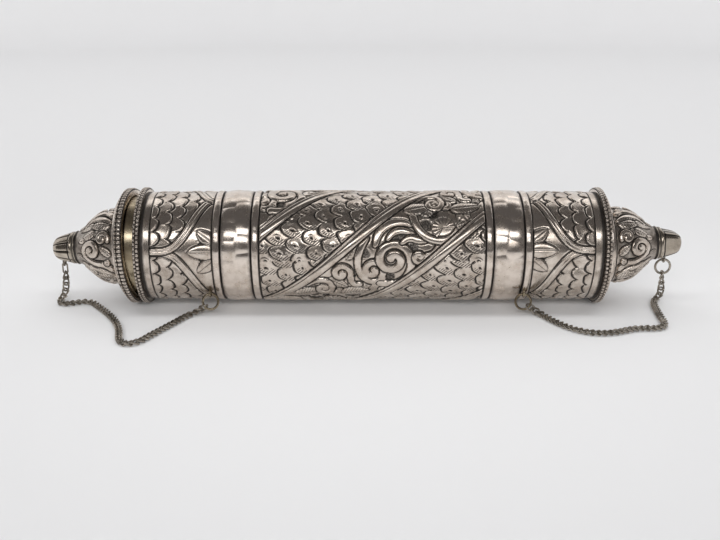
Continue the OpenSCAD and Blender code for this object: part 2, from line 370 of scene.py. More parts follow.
def noise_node(nodes, links, scale, detail, rough, stretch=None):
    """Noise over the object's own coordinates. scale is in cycles a metre."""
    coords = nodes.new("ShaderNodeTexCoord")
    noise = nodes.new("ShaderNodeTexNoise")
    put(noise, Scale=scale, Detail=detail, Roughness=rough)
    place = coords.outputs["Object"]
    if stretch:
        mapping = nodes.new("ShaderNodeMapping")
        put(mapping, Scale=stretch)
        links.new(place, mapping.inputs["Vector"])
        place = mapping.outputs["Vector"]
    links.new(place, noise.inputs["Vector"])
    return noise


def ramp_node(nodes, links, source, stops):
    """Colour ramp from pairs of place and colour."""
    ramp = nodes.new("ShaderNodeValToRGB")
    while len(ramp.color_ramp.elements) < len(stops):
        ramp.color_ramp.elements.new(0.5)
    for element, (place, colour) in zip(ramp.color_ramp.elements, stops):
        element.position = place
        element.color = (*colour, 1)
    links.new(source, ramp.inputs["Fac"])
    return ramp


def multiply_add(nodes, links, source, factor, added):
    """Output of source * factor + added."""
    node = nodes.new("ShaderNodeMath")
    node.operation = "MULTIPLY_ADD"
    node.inputs[1].default_value = factor
    links.new(source, node.inputs[0])
    links.new(added, node.inputs[2])
    return node.outputs["Value"]


def silver(name, bright, tarnish, black, tarnish_share=0.35, roughness=(0.14, 0.34)):
    """Silver with a tarnish film in patches and fine polishing scratches. black is the colour of the
    painted shade that the mesh's cavity field marks in recesses, creases and grooves, or None where there is
    none."""
    material = bpy.data.materials.new(name)
    nodes, links, shader = nodes_of(material)
    put(shader, Metallic=1.0)
    cloud = noise_node(nodes, links, 260, 5, 0.6)
    film = ramp_node(nodes, links, cloud.outputs["Fac"], [
        (0.5 - tarnish_share * 0.4, bright), (0.62, tarnish)])
    colour = film.outputs["Color"]
    rough = nodes.new("ShaderNodeMapRange")
    put(rough, From_Min=0.35, From_Max=0.7, To_Min=roughness[0], To_Max=roughness[1])
    links.new(cloud.outputs["Fac"], rough.inputs["Value"])
    rough_out = rough.outputs["Result"]
    if black:
        # painted shade: the cavity field, broken up a little by fine grain noise, darkens the base colour
        # towards black
        attribute = nodes.new("ShaderNodeAttribute")
        attribute.attribute_name = "cavity"
        grain = noise_node(nodes, links, 1500, 3, 0.6)
        shade_and_grain = multiply_add(nodes, links, grain.outputs["Fac"], 0.35, attribute.outputs["Fac"])
        mask = ramp_node(nodes, links, shade_and_grain, [(0.3, (0, 0, 0)), (0.85, (1, 1, 1))])
        mix = nodes.new("ShaderNodeMix")
        mix.data_type = "RGBA"
        put(mix, B=(*black, 1))
        links.new(mask.outputs["Color"], mix.inputs["Factor"])
        links.new(colour, mix.inputs["A"])
        colour = mix.outputs["Result"]
        rough_out = multiply_add(nodes, links, mask.outputs["Color"], 0.3, rough_out)
    links.new(colour, shader.inputs["Base Color"])
    links.new(rough_out, shader.inputs["Roughness"])
    fine = noise_node(nodes, links, 900, 6, 0.7, stretch=(1, 3, 3))
    bump_node = nodes.new("ShaderNodeBump")
    put(bump_node, Strength=0.06, Distance=0.0002)
    links.new(fine.outputs["Fac"], bump_node.inputs["Height"])
    links.new(bump_node.outputs["Normal"], shader.inputs["Normal"])
    return material


SILVER = silver("chased_silver", (0.78, 0.70, 0.62), (0.56, 0.48, 0.41), (0.075, 0.068, 0.062))
PLAIN_SILVER = silver("plain_silver", (0.82, 0.73, 0.65), (0.66, 0.57, 0.49), (0.08, 0.07, 0.065), 0.2)
WORN_SILVER = silver("bud_silver", (0.64, 0.57, 0.48), (0.38, 0.33, 0.27), (0.05, 0.045, 0.04), 0.6,
                     (0.12, 0.32))
CHAIN_SILVER = silver("chain_silver", (0.60, 0.55, 0.48), (0.28, 0.25, 0.21), None, 0.6, (0.2, 0.4))
RING_WIRE = silver("case_ring_wire", (0.42, 0.36, 0.26), (0.20, 0.16, 0.11), None, 0.5, (0.18, 0.36))
GILT = silver("gilt_sleeve", (0.50, 0.43, 0.31), (0.30, 0.24, 0.16), None, 0.5, (0.2, 0.4))


# ---------------- camera, floor and lights


def look_at(obj, target):
    """Turns a camera or lamp to face a point."""
    direction = Vector(target) - obj.location
    obj.rotation_euler = direction.to_track_quat("-Z", "Y").to_euler()


def make_camera():
    """The camera looks down on the case by VIEW_TILT. It aims a little to the left of the case's
    middle and below its axis."""
    distance_off, aim_left, aim_low, focal_length = 280.0, 3.5, 7.5, 46.65
    back = Vector((0, math.cos(VIEW_TILT), -math.sin(VIEW_TILT)))
    up = Vector((0, math.sin(VIEW_TILT), math.cos(VIEW_TILT)))
    middle = Vector((0, 0, AXIS_Z))
    place = middle - back * distance_off - up * aim_low - Vector((aim_left, 0, 0))
    camera = bpy.data.cameras.new("camera")
    camera.sensor_width = 36.0
    camera.lens = focal_length
    camera.clip_start = 0.01
    obj = bpy.data.objects.new("camera", camera)
    obj.location = place * MM
    look_at(obj, (place + back * distance_off) * MM)
    bpy.context.scene.collection.objects.link(obj)
    bpy.context.scene.camera = obj


def paper_dish(name, flat, cove, heights, material):
    """Flat round sheet whose rim curves up, to its own height in each direction."""
    steps = len(heights)
    outline = [(0.0, 0.0), (0.15, 0.0), (0.4, 0.0), (flat, 0.0)]
    for t in np.linspace(0.12, math.pi / 2, 12):
        outline.append((flat + cove * math.sin(t), cove * (1 - math.cos(t))))
    verts, faces = [], []
    for i, rise in enumerate(heights):
        turn = TAU * i / steps
        for radius, z in outline + [(flat + cove, rise)]:
            verts.append((radius * math.cos(turn), radius * math.sin(turn), max(0.0, min(z, rise))))
    columns = len(verts) // steps
    for i in range(steps):
        k = (i + 1) % steps
        for j in range(columns - 1):
            faces.append((i * columns + j, i * columns + j + 1, k * columns + j + 1, k * columns + j))
    mesh = bpy.data.meshes.new(name)
    mesh.from_pydata(verts, [], faces)
    for polygon in mesh.polygons:
        polygon.use_smooth = True
    dish = bpy.data.objects.new(name, mesh)
    bpy.context.scene.collection.objects.link(dish)
    mesh.materials.append(material)
    return dish


def make_floor():
    """Pale round table with a painted pool of light: its colour is a little lighter round the case. Its
    edge sweeps up behind and beside the case and stays low in front, so that the silver shows a dark
    room there. A screen outside it closes the view from behind, and neither shades the case nor shows
    in the silver."""
    table_height, screen_height = 2.2, 2.3
    light_to, dark_from = 0.05, 0.19
    material = bpy.data.materials.new("table")
    nodes, links, shader = nodes_of(material)
    coords = nodes.new("ShaderNodeTexCoord")
    off = nodes.new("ShaderNodeVectorMath")
    off.operation = "LENGTH"
    links.new(coords.outputs["Object"], off.inputs[0])
    away = nodes.new("ShaderNodeMapRange")
    away.interpolation_type = "SMOOTHSTEP"
    put(away, From_Min=light_to, From_Max=dark_from)
    links.new(off.outputs["Value"], away.inputs["Value"])
    # painted pool of light: lighter near the case, darker further out
    tone = ramp_node(nodes, links, away.outputs["Result"], [
        (0, (0.81, 0.81, 0.815)), (1, (0.71, 0.71, 0.715))])
    links.new(tone.outputs["Color"], shader.inputs["Base Color"])
    put(shader, Roughness=0.8, Specular_IOR_Level=0.1)
    turns = [TAU * i / 96 for i in range(96)]
    heights = [0.01 + table_height * smooth(-0.3, 0.6, math.sin(t)) for t in turns]
    paper_dish("table", 0.95, 0.30, heights, material)
    screen = paper_dish("screen", 0.97, 0.30, [screen_height] * 48, material)
    screen.location.z = -0.002
    screen.visible_glossy = False
    screen.visible_shadow = False
    screen.visible_diffuse = False


def soft_box(name, place, target, size, power, mirrored=True):
    """Lamp panel. One that isn't mirrored lights the scene but doesn't show in the silver."""
    lamp = bpy.data.lights.new(name, "AREA")
    lamp.shape = "RECTANGLE"
    lamp.size, lamp.size_y = size
    lamp.energy = power
    obj = bpy.data.objects.new(name, lamp)
    obj.location = place
    look_at(obj, target)
    obj.visible_glossy = mirrored
    bpy.context.scene.collection.objects.link(obj)


def make_lights():
    """Wide soft lamps overhead and in front for the table, one for the paper behind it, and two
    softboxes that the silver shows, with the dark room between them."""
    world = bpy.data.worlds.new("studio")
    bpy.context.scene.world = world
    world.use_nodes = True
    put(world.node_tree.nodes["Background"], Color=(0.1, 0.096, 0.096, 1))
    middle = (0, 0, 0.02)
    soft_box("overhead", (0.0, 0.55, 1.5), (0, 0.35, 0), (2.6, 2.6), 8, mirrored=False)
    soft_box("front", (0.0, -1.9, 0.75), middle, (3.0, 1.2), 28, mirrored=False)
    soft_box("backdrop", (0.0, -0.1, 1.1), (0, 1.3, 0.5), (2.2, 0.6), 10, mirrored=False)
    soft_box("rear", (0.0, 0.85, 1.35), middle, (2.4, 0.5), 3)
    soft_box("key", (-0.07, -0.72, 0.53), middle, (0.85, 0.23), 1.8)
    bpy.context.scene.view_settings.view_transform = "Standard"


make_camera()
make_floor()
make_lights()


# ---------------- the tube

CELL = 0.2                  # spacing of the vertices along and round the tube
COLUMNS = int(AROUND / CELL)
HELIX_LEAD = 115.0          # travel along the tube of one turn of a helical band
BANDS = 4
BAND_STEP = HELIX_LEAD / BANDS
FIRST_BAND = -6.1           # place along the tube of band 0 on the line that faces the camera
STRIP_STEP = 27.5           # distance round the tube after which the scrollwork repeats
FRONT = VIEW_TILT * TUBE_R  # distance round the tube of the line that faces the camera


def shell(name, x0, x1, outer, material, side=1):
    """Wall of the tube from x0 to x1. outer(relief) fills in a Relief and returns its radius."""
    rows = int(round((x1 - x0) / CELL)) + 1
    a = np.linspace(x0, x1, rows)
    relief = Relief(a, COLUMNS, AROUND)
    radius = outer(relief) + np.zeros_like(relief.a)
    along = np.concatenate([relief.a, np.full((1, COLUMNS), x1), np.full((1, COLUMNS), x0)])
    radius = np.concatenate([radius, np.full((2, COLUMNS), BORE_R)])
    dark = np.concatenate([relief.dark, np.zeros((2, COLUMNS))])
    return lathe(name, along, radius, "case", material, side=side, cavity=dark)


def helix(a, s, k):
    """Distance, across a helical band, from its middle line."""
    lean = HELIX_LEAD / AROUND
    return (a - (FIRST_BAND + BAND_STEP * k) - lean * s) / math.hypot(1, lean)


def placed(a0, s0):
    """Function that moves points of a motif to the motif's place."""
    def at(*points):
        return [(a0 + p[0], s0 + p[1]) for p in points]
    return at


def scroll_group(r, a0, s0):
    """Broad volutes that curl out of one another, with plumes and leaves between them."""
    at = placed(a0, s0)

    def volute(stem, centre, radius, start, turns, hand, half, height=0.44):
        curl = spiral(at(centre)[0], radius, start, turns, hand)
        r.stroke(np.concatenate([curve(at(*stem)), curl]), half, height, 0.28)

    def plume(*points, half=0.9):
        r.stroke(curve(at(*points)), half, 0.42, 0.26, taper=True)

    for where, size in (((-2.4, -2.8), 1.7), ((8.0, 2.4), 2.4), ((5.0, -9.9), 1.7),
                        ((-17.0, -15.0), 2.2), ((-4.0, -13.0), 1.6), ((11.6, -1.2), 1.5)):
        pocket(r, *at(where)[0], size)
    for where, length, angle, height in (
            ((-22.5, -17.6), 8.4, 14, 0.38), ((-12.5, -10.6), 6.4, -32, 0.38), ((-9.0, -16.8), 8.4, 8, 0.4),
            ((1.6, -16.6), 7.4, 30, 0.36), ((9.6, -12.9), 7.0, 46, 0.36), ((-7.4, -4.6), 6.0, 56, 0.36),
            ((12.2, -9.4), 6.4, 50, 0.36)):
        leaf(r, *at(where)[0], length, angle, height)
    volute(((-19.0, -13.0), (-16.4, -11.4), (-12.6, -11.4), (-11.4, -14.2)),
           (-13.9, -14.8), 2.4, 12, 1.1, -1, 0.8)
    volute(((-3.6, -13.0), (-5.0, -13.2), (-6.0, -12.0), (-6.1, -10.4)),
           (-8.9, -9.0), 2.9, -28, 1.15, 1, 0.84)
    volute(((-1.9, 1.4), (-3.4, -1.4), (-4.4, -5.3), (-3.6, -9.0), (-1.4, -11.6), (1.4, -12.0), (3.0, -10.6)),
           (0.1, -8.0), 3.3, -40, 1.2, 1, 0.94)
    volute(((2.4, -12.6), (6.0, -12.9), (9.2, -11.4), (10.9, -8.2), (11.2, -5.4)),
           (5.8, -4.6), 5.1, -6, 1.45, 1, 1.12, 0.48)
    volute(((18.8, -0.6), (17.6, -2.6), (16.2, -3.2)), (13.4, -3.8), 2.2, 14, 1.15, -1, 0.72)
    plume((0.8, -0.6), (1.6, 3.0), (4.4, 5.8), (8.2, 6.6), (11.2, 5.4), half=1.15)
    plume((4.4, 1.2), (6.0, 3.4), (8.6, 4.0), (11.8, 2.6), half=0.95)
    plume((8.4, 0.2), (10.6, 1.8), (13.4, 0.6), (17.0, 1.4), half=0.95)
    plume((-4.6, 0.6), (-3.6, 3.4), (-0.8, 5.6), (2.4, 6.4), half=0.8)


def rosette_group(r, a0, s0):
    """Rosettes, a volute and a shell inside a bold curved border."""
    at = placed(a0, s0)
    for where, size in (((15.2, 5.4), 2.0), ((17.6, 8.4), 1.6), ((23.4, 10.6), 1.7), ((13.6, 13.4), 1.4)):
        pocket(r, *at(where)[0], size)
    border = at((11.4, 14.6), (11.2, 10.4), (12.2, 5.3), (15.1, 1.7), (19.3, 0.5), (22.9, 1.5), (24.8, 4.4))
    r.stroke(curve(border), 1.0, 0.46, 0.28)
    leaf(r, *at((25.4, 11.2))[0], 7.0, 34, 0.4)
    leaf(r, *at((16.6, 14.0))[0], 5.0, 165, 0.36)
    leaf(r, *at((23.8, 4.6))[0], 5.2, 22, 0.36)
    shell_fan(r, *at((20.2, 4.6))[0], 3.4, -60)
    curl = spiral(at((20.6, 12.2))[0], 2.5, -150, 1.15, -1)
    r.stroke(np.concatenate([curve(at((16.4, 10.2), (17.4, 10.0), (18.3, 10.6))), curl]), 0.72, 0.42, 0.26)
    r.boss(*at((15.3, 9.8))[0], 2.0, 0.46, petals=6)
    r.boss(*at((25.9, 8.6))[0], 2.0, 0.46, petals=6)
    r.stroke(curve(at((23.0, 14.0), (24.6, 16.4), (28.4, 17.2), (31.0, 15.0))), 0.8, 0.4, 0.22, taper=True)


def pocket(r, a0, s0, size):
    """Sunken patch of punched ground, with painted shade in its pits."""
    grain = np.random.default_rng(int(100 * size)).random(r.a.shape)
    for at, a, s in r.window(a0 - 2 * size, a0 + 2 * size, s0 - 2 * size, s0 + 2 * size):
        depth = smooth(1.15, 0.75, np.hypot(a - a0, s - s0) / size)
        r.h[at] -= (0.16 + 0.1 * grain[at]) * depth
        r.dark[at] = np.maximum(r.dark[at], (0.35 + 0.5 * grain[at]) * depth)


def leaf(r, a0, s0, length, angle, height, fat=0.30, plain=False):
    """Pointed leaf that grows from a0, s0, with a middle vein, and with side cuts unless plain."""
    c, n = math.cos(math.radians(angle)), math.sin(math.radians(angle))
    reach = length + 1
    for at, a, s in r.window(a0 - reach, a0 + reach, s0 - reach, s0 + reach):
        u = (a - a0) * c + (s - s0) * n
        v = -(a - a0) * n + (s - s0) * c
        t = u / length
        part = np.clip(t, 0, 1)
        half = fat * length * np.sqrt(np.clip(np.sin(np.pi * part), 0, 1)) * (1 - 0.35 * part)
        inside = (t > 0) & (t < 1) & (np.abs(v) < half)
        vein = bump(v, 0.12)
        cuts = (0.5 + 0.5 * np.cos(TAU * (u - 0.7 * np.abs(v)) / 0.85)) * (not plain)
        shape = height * ridge(v, half + 1e-6) * (1 - 0.5 * vein) - 0.07 * cuts
        edge = smooth(0.5, 0.1, np.abs(v) - half) * smooth(-0.08, 0, t) * smooth(1.08, 1, t)
        r.h[at] = np.where(inside, shape, r.h[at] - 0.18 * edge)
        # painted shade in the vein, the side cuts and round the leaf's edge
        veins = np.maximum(0.7 * vein, 0.5 * cuts**3)
        r.dark[at] = np.where(inside, veins, np.maximum(r.dark[at], 0.9 * edge))


def shell_fan(r, a0, s0, radius, angle):
    """Fan of flutes that opens away from the given direction."""
    for at, a, s in r.window(a0 - 2 * radius, a0 + 2 * radius, s0 - 2 * radius, s0 + 2 * radius):
        d = np.hypot(a - a0, s - s0)
        turn = np.degrees(np.arctan2(s - s0, a - a0)) - angle
        turn = (turn + 180) % 360 - 180
        inside = (d < radius) & (np.abs(turn) > 62)
        flute = np.abs(np.sin(np.radians(turn) * 7))
        shape = 0.34 * (d / radius) ** 0.6 * (0.35 + 0.65 * flute) * ridge(d, radius * 1.08)
        edge = bump(d - radius - 0.08, 0.16) * (np.abs(turn) > 55)
        r.h[at] = np.where(inside, shape, r.h[at] - 0.12 * edge)
        # painted shade between the flutes and round the fan's edge
        r.dark[at] = np.where(inside, 0.8 * (1 - flute) ** 2, np.maximum(r.dark[at], 0.9 * edge))


def middle_panel(r):
    """Helical bands with scrollwork and scales between them, in turn."""
    s = r.s - FRONT
    s = (s + r.around / 2) % r.around - r.around / 2
    nearest = np.full(r.a.shape, 1e9)
    zone = np.zeros(r.a.shape, int)
    for k in range(-4, 5):
        d = helix(r.a, s, k)
        nearest = np.where(np.abs(d) < np.abs(nearest), d, nearest)
        zone = np.where(d > 0, k, zone)
    r.h -= 0.1
    # painted shade: the whole sunken ground a little darker
    r.dark += 0.08
    for half_turn in (0, r.around / 2):
        for step in (-1, 0, 1):
            shift = (STRIP_STEP * HELIX_LEAD / AROUND * step, FRONT + STRIP_STEP * step + half_turn)
            scroll_group(r, *shift)
            rosette_group(r, *shift)
    height, dark = scales(r, 5.1, 23, 5)
    scaled = np.mod(zone, 2) == 1  # scrollwork from band 0 to 1, scales from 1 to 2, and so on
    r.h, r.dark = np.where(scaled, height, r.h), np.where(scaled, dark, r.dark)
    # the helical bands, a broad ridge with a narrow one above it, lie over everything
    d = nearest
    broad, narrow, half = d - 0.45, d + 1.04, 1.46
    over = np.abs(d) < half
    twin = np.maximum(ridge(broad, 1.0) * 0.44, ridge(narrow, 0.42) * 0.36)
    past = np.abs(d) - half
    edge = smooth(0.5, 0.1, past)
    r.h = np.where(over, twin, r.h * smooth(0, 0.6, past) - 0.24 * edge)
    # painted shade in the crease between the twin ridges and along the bands' edges
    creases = np.maximum(0.95 * bump(d + 0.58, 0.14), bump(past, 0.1))
    r.dark = np.where(over, creases, np.maximum(r.dark, edge))
    border = np.minimum(r.a + PANEL_HALF, PANEL_HALF - r.a)
    r.h = r.h * smooth(0.0, 0.5, border) - 0.16 * bump(border - 0.25, 0.25)
    # painted shade along the panel's border
    r.dark = np.maximum(r.dark, 0.8 * smooth(0.5, 0.2, border))
    return TUBE_R + np.clip(r.h, -0.45, 0.46)


def rib(r):
    """Half-round rib with painted shade in the creases at its edges."""
    t = (r.a - r.a[0, 0]) / RIB_W
    waves = 0.02 * np.sin(r.s * 1.1 + r.a[0, 0]) + 0.015 * np.sin(r.s * 2.7)
    r.dark = np.maximum(bump(t, 0.12), bump(1 - t, 0.12)) * 0.95
    return TUBE_R - 0.12 + (0.40 + waves) * np.sqrt(np.sin(np.pi * np.clip(t, 0, 1)))


def hammered(seed):
    """Planished band: shallow pillows, one to a hammer blow, that meet in soft creases."""
    def outer(r):
        rng = np.random.default_rng(seed)
        start, count, crease = r.a[0, 0], 19, 0.012
        total = np.zeros(r.a.shape)
        for column, share in enumerate((0.24, 0.74)):
            for k in range(count):
                da = r.a - start - BAND_W * (share + rng.uniform(-0.06, 0.06))
                s0 = (k + 0.5 * column + rng.uniform(-0.2, 0.2)) * r.around / count
                ds = (r.s - s0 + r.around / 2) % r.around - r.around / 2
                lean = rng.normal(0, 0.025) * da + rng.normal(0, 0.025) * ds
                total += np.exp((lean + rng.uniform(-0.02, 0.02) - da**2 / 30 - ds**2 / 44) / crease)
        pillows = crease * np.log(total)
        t = (r.a - start) / BAND_W
        # painted shade along the band's edges, where it meets the ribs
        r.dark = 0.9 * (bump(t, 0.03) + bump(1 - t, 0.03)) + 0.42 * (bump(t, 0.12) + bump(1 - t, 0.12))
        seams = 0.16 * (bump(t, 0.025) + bump(1 - t, 0.025))
        return TUBE_R + 0.1 + 0.4 * np.sin(np.pi * t) ** 0.8 + pillows - seams
    return outer


def palmette(r, a0, s0):
    """Leaf of three pointed lobes that stands on the rib, with hatched shade between them."""
    for at, a, s in r.window(a0 - 1, a0 + 8, s0 - 7, s0 + 7):
        field = smooth(6.3, 5.3, np.abs(s - s0)) * smooth(5.4, 4.2, a - a0 + 0.42 * np.abs(s - s0))
        hatch = 0.5 + 0.5 * np.cos(TAU * (0.6 * (a - a0) + 0.8 * np.abs(s - s0)) / 0.95)
        r.dark[at] = np.maximum(r.dark[at], 1.1 * field * hatch)
        r.h[at] -= 0.16 * field * (0.4 + hatch)
    for lobe in (-1, 1):
        leaf(r, a0 - 1.2, s0 + 2.0 * lobe, 6.6, 40 * lobe, 0.36, 0.34, plain=True)
    leaf(r, a0 - 1.4, s0, 8.0, 0, 0.42, 0.33, plain=True)


def ogee_panel(centre):
    """Panel with three ogee arches, scales between their feet and a trefoil under each crown."""
    def outer(r):
        length = PANEL_END - OGEE_START
        third = r.around / 3

        def arch(f):
            """Half width of an arch, f from 0 at the flange to 1 at the rib."""
            return third / 2 * np.sin(np.pi / 2 * f**1.75) ** 2

        s = (r.s - centre * TUBE_R + third / 2) % third - third / 2
        inside = np.abs(s) < arch(np.clip((PANEL_END - r.a) / length, 0, 1))
        height, dark = scales(r, 3.7, 24, 0, 0.36, dots=False)
        r.h = np.where(inside, 0.02, height - 0.02)
        r.dark = np.where(inside, 0, dark)
        lines = np.linspace(0, 1, 33)
        curve_a = PANEL_END - 0.3 - lines * (length - 0.5)
        curve_s = arch(lines)
        for k in range(3):
            base = centre * TUBE_R + k * third
            palmette(r, OGEE_START + 0.3, base)
            for side in (-1, 1):
                line = np.stack([curve_a, base + side * (curve_s + 0.1)], -1)
                r.stroke(line, 0.98, 0.36, 0.2, double=True, dark=1)
        border = np.minimum(r.a - OGEE_START, PANEL_END - r.a)
        r.h -= 0.16 * bump(border - 0.1, 0.22)
        # painted shade along the panel's borders
        r.dark = np.maximum(r.dark, 0.95 * bump(border - 0.05, 0.24))
        return SHEET_R + np.clip(r.h, -0.35, 0.42)
    return outer


def plain_band(r):
    """Smooth band beside a flange, with painted shade that darkens it towards the flange."""
    t = r.a - r.a[0, 0]
    r.dark = np.maximum(0.9 * bump(t, 0.2), smooth(1.0, 2.7, t))
    return SHEET_R - 0.12 * bump(t, 0.2) + 0.02 * np.sin(r.s * 0.9)


def make_tube():
    """The tube in one ring of wall for each band, from its middle to its two ends."""
    pieces = [shell("middle_panel", -PANEL_HALF, PANEL_HALF, middle_panel, SILVER)]
    for side, word, seed, crown in ((-1, "left", 11, 9), (1, "right", 17, 11)):
        parts = [
            ("inner_rib", PANEL_HALF, BAND_START, rib, PLAIN_SILVER),
            ("hammered_band", BAND_START, RIB_2, hammered(seed), PLAIN_SILVER),
            ("outer_rib", RIB_2, OGEE_START, rib, PLAIN_SILVER),
            ("ogee_panel", OGEE_START, PANEL_END, ogee_panel(math.radians(crown)), SILVER),
            ("plain_band", PANEL_END, TUBE_END, plain_band, SILVER)]
        for name, x0, x1, outer, material in parts:
            pieces.append(shell(f"{word}_{name}", x0, x1, outer, material, side))
    for piece in pieces:
        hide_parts("case_tube")


make_tube()


# ---------------- flanges, caps and buds

FLANGE_BEADS = 84
DOME_CHASED_R = 10.4        # radius at which the dome's chasing is laid out


def beads(turn):
    """0 in the cuts between beads and 1 on top of them."""
    return np.abs(np.sin(FLANGE_BEADS * turn / 2)) ** 0.5


def flange_rows(x0, thickness, radius, inner, bead_rows):
    """Rows of a beaded flange: inner wall, back face, rim with rows of beads, front face. A row of
    beads has its start, its width and its phase round the rim."""
    columns = FLANGE_BEADS * 8
    turn = np.arange(columns) / columns * TAU
    along, radii, dark = [], [], []

    def row(x, r, d=0.0):
        along.append(np.full(columns, x))
        radii.append(r + np.zeros(columns))
        dark.append(d + np.zeros(columns))

    row(x0, inner)
    row(x0, radius - 1.6)
    row(x0, radius - 0.75)
    for start, width, phase in bead_rows:
        steps = 8
        bead = beads(turn + phase)
        for i in range(steps + 1):
            t = i / steps
            round_off = math.sqrt(max(0.0, 1 - (2 * t - 1) ** 2))
            # painted shade in the cuts between beads and where each row of beads rounds off
            row(x0 + start + width * t, radius - 0.5 + 0.5 * round_off * (0.25 + 0.75 * bead),
                np.maximum(0.95 * (1 - bead) ** 0.7, 0.9 * (1 - round_off) ** 1.5))
    row(x0 + thickness, radius - 0.75)
    row(x0 + thickness, radius - 1.6)
    row(x0 + thickness, inner)
    return np.array(along), np.array(radii), np.array(dark)


def make_flanges():
    for side, word in ((-1, "left"), (1, "right")):
        rows = [(0.05, 0.95, 0.0), (1.0, 0.75, 0.04)]
        along, radii, dark = flange_rows(TUBE_END, HALF_LENGTH - TUBE_END, FLANGE_R, MOUTH_R, rows)
        piece = lathe(f"{word}_flange", along, radii, "case", SILVER, side=side, cavity=dark)
        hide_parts(f"{word}_body_flange")


def dome_outline(u):
    """Full at the foot, then a taper that eases into the bud."""
    return BUD_R + (DOME_R - BUD_R) * (1 + np.cos(np.pi * (u / DOME_H) ** 1.6)) / 2


def dome_relief(u, columns):
    """Volutes, bosses and leaves that crowd round a dome, over the distance up from its foot."""
    r = Relief(u, columns, TAU * DOME_CHASED_R)
    quarter = r.around / 4
    r.h -= 0.14
    # painted shade: the whole chased ground is darkened
    r.dark += 0.4
    for k in range(4):
        base = k * quarter + 1.6
        for a0, s0, length, angle in ((0.9, 4.2, 5.6, 12), (0.9, 7.0, 6.2, 8), (5.6, 5.6, 5.4, -12),
                                      (6.4, 8.0, 5.6, 20), (9.6, -4.2, 3.8, 30), (0.8, -1.6, 4.4, 40)):
            leaf(r, a0, base + s0, length, angle, 0.36)
        plume = [(1.0, base - 8.2), (3.6, base - 6.6), (7.0, base - 5.8), (9.8, base - 6.6)]
        r.stroke(curve(plume), 0.8, 0.4, 0.24, taper=True)
        r.stroke(np.concatenate([
            curve([(1.2, base - 5.6), (3.0, base - 3.9), (6.6, base - 4.0), (9.8, base - 2.6)]),
            spiral((7.4, base), 3.2, -50, 1.3, 1)]), 0.86, 0.48, 0.3)
        r.stroke(spiral((3.4, base + 3.4), 1.9, 200, 1.1, -1), 0.62, 0.4, 0.24)
        r.boss(10.9, base + 3.9, 1.2, 0.4)
        r.boss(2.2, base - 3.4, 0.9, 0.34)
    fade = smooth(0.0, 0.9, r.a) * smooth(DOME_H, DOME_H - 1.2, r.a)
    # painted shade at the dome's foot and at the neck under the bud
    ends = np.maximum(bump(r.a, 0.3), 0.8 * smooth(DOME_H - 1.5, DOME_H - 0.3, r.a))
    r.dark = np.maximum(r.dark * fade, ends)
    return np.clip(r.h, -0.4, 0.5) * fade - 0.12 * smooth(DOME_H - 2.4, DOME_H, r.a), r.dark


def make_dome(word, base, side, matrix):
    rows, columns = 96, 416
    u = np.linspace(0, DOME_H, rows)
    height, dark = dome_relief(u, columns)
    outer = dome_outline(u)[:, None] - 0.25 + height
    inner_u = np.linspace(DOME_H - DOME_WALL, 0, 8)
    inner = np.maximum(dome_outline(inner_u) - DOME_WALL - 0.2, 0)[:, None] + np.zeros((1, columns))
    along = base + np.concatenate([u, inner_u])[:, None] + np.zeros((1, columns))
    dark = np.concatenate([dark, np.zeros((8, columns))])
    radius = np.concatenate([outer, inner])
    piece = lathe(f"{word}_dome", along, radius, f"{word}_cap", SILVER, matrix, side, cavity=dark)
    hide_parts(f"{word}_cap_dome")


def make_foot(word, base, height, side, matrix):
    """Plain foot ring with filed edges."""
    columns = 240
    turn = np.arange(columns) / columns * TAU
    # the third column is painted shade at the foot's edges
    profile = [
        (0, FOOT_R - 0.9, 0), (0, FOOT_R - 0.3, 0.8), (0.12, FOOT_R - 0.05, 0.5), (0.3 * height, FOOT_R, 0),
        (0.7 * height, FOOT_R - 0.02, 0), (height - 0.15, FOOT_R - 0.08, 0.3), (height, FOOT_R - 0.35, 1),
        (height, FOOT_R - 0.9, 0)]
    along = base + np.array([p[0] for p in profile])[:, None] + np.zeros((1, columns))
    wobble = 0.025 * np.sin(turn * 7) + 0.02 * np.sin(turn * 13 + 1)
    radius = np.array([p[1] for p in profile])[:, None] + wobble
    dark = np.array([p[2] for p in profile])[:, None] + np.zeros((1, columns))
    return lathe(f"{word}_foot", along, radius, f"{word}_cap", PLAIN_SILVER, matrix, side, cavity=dark)


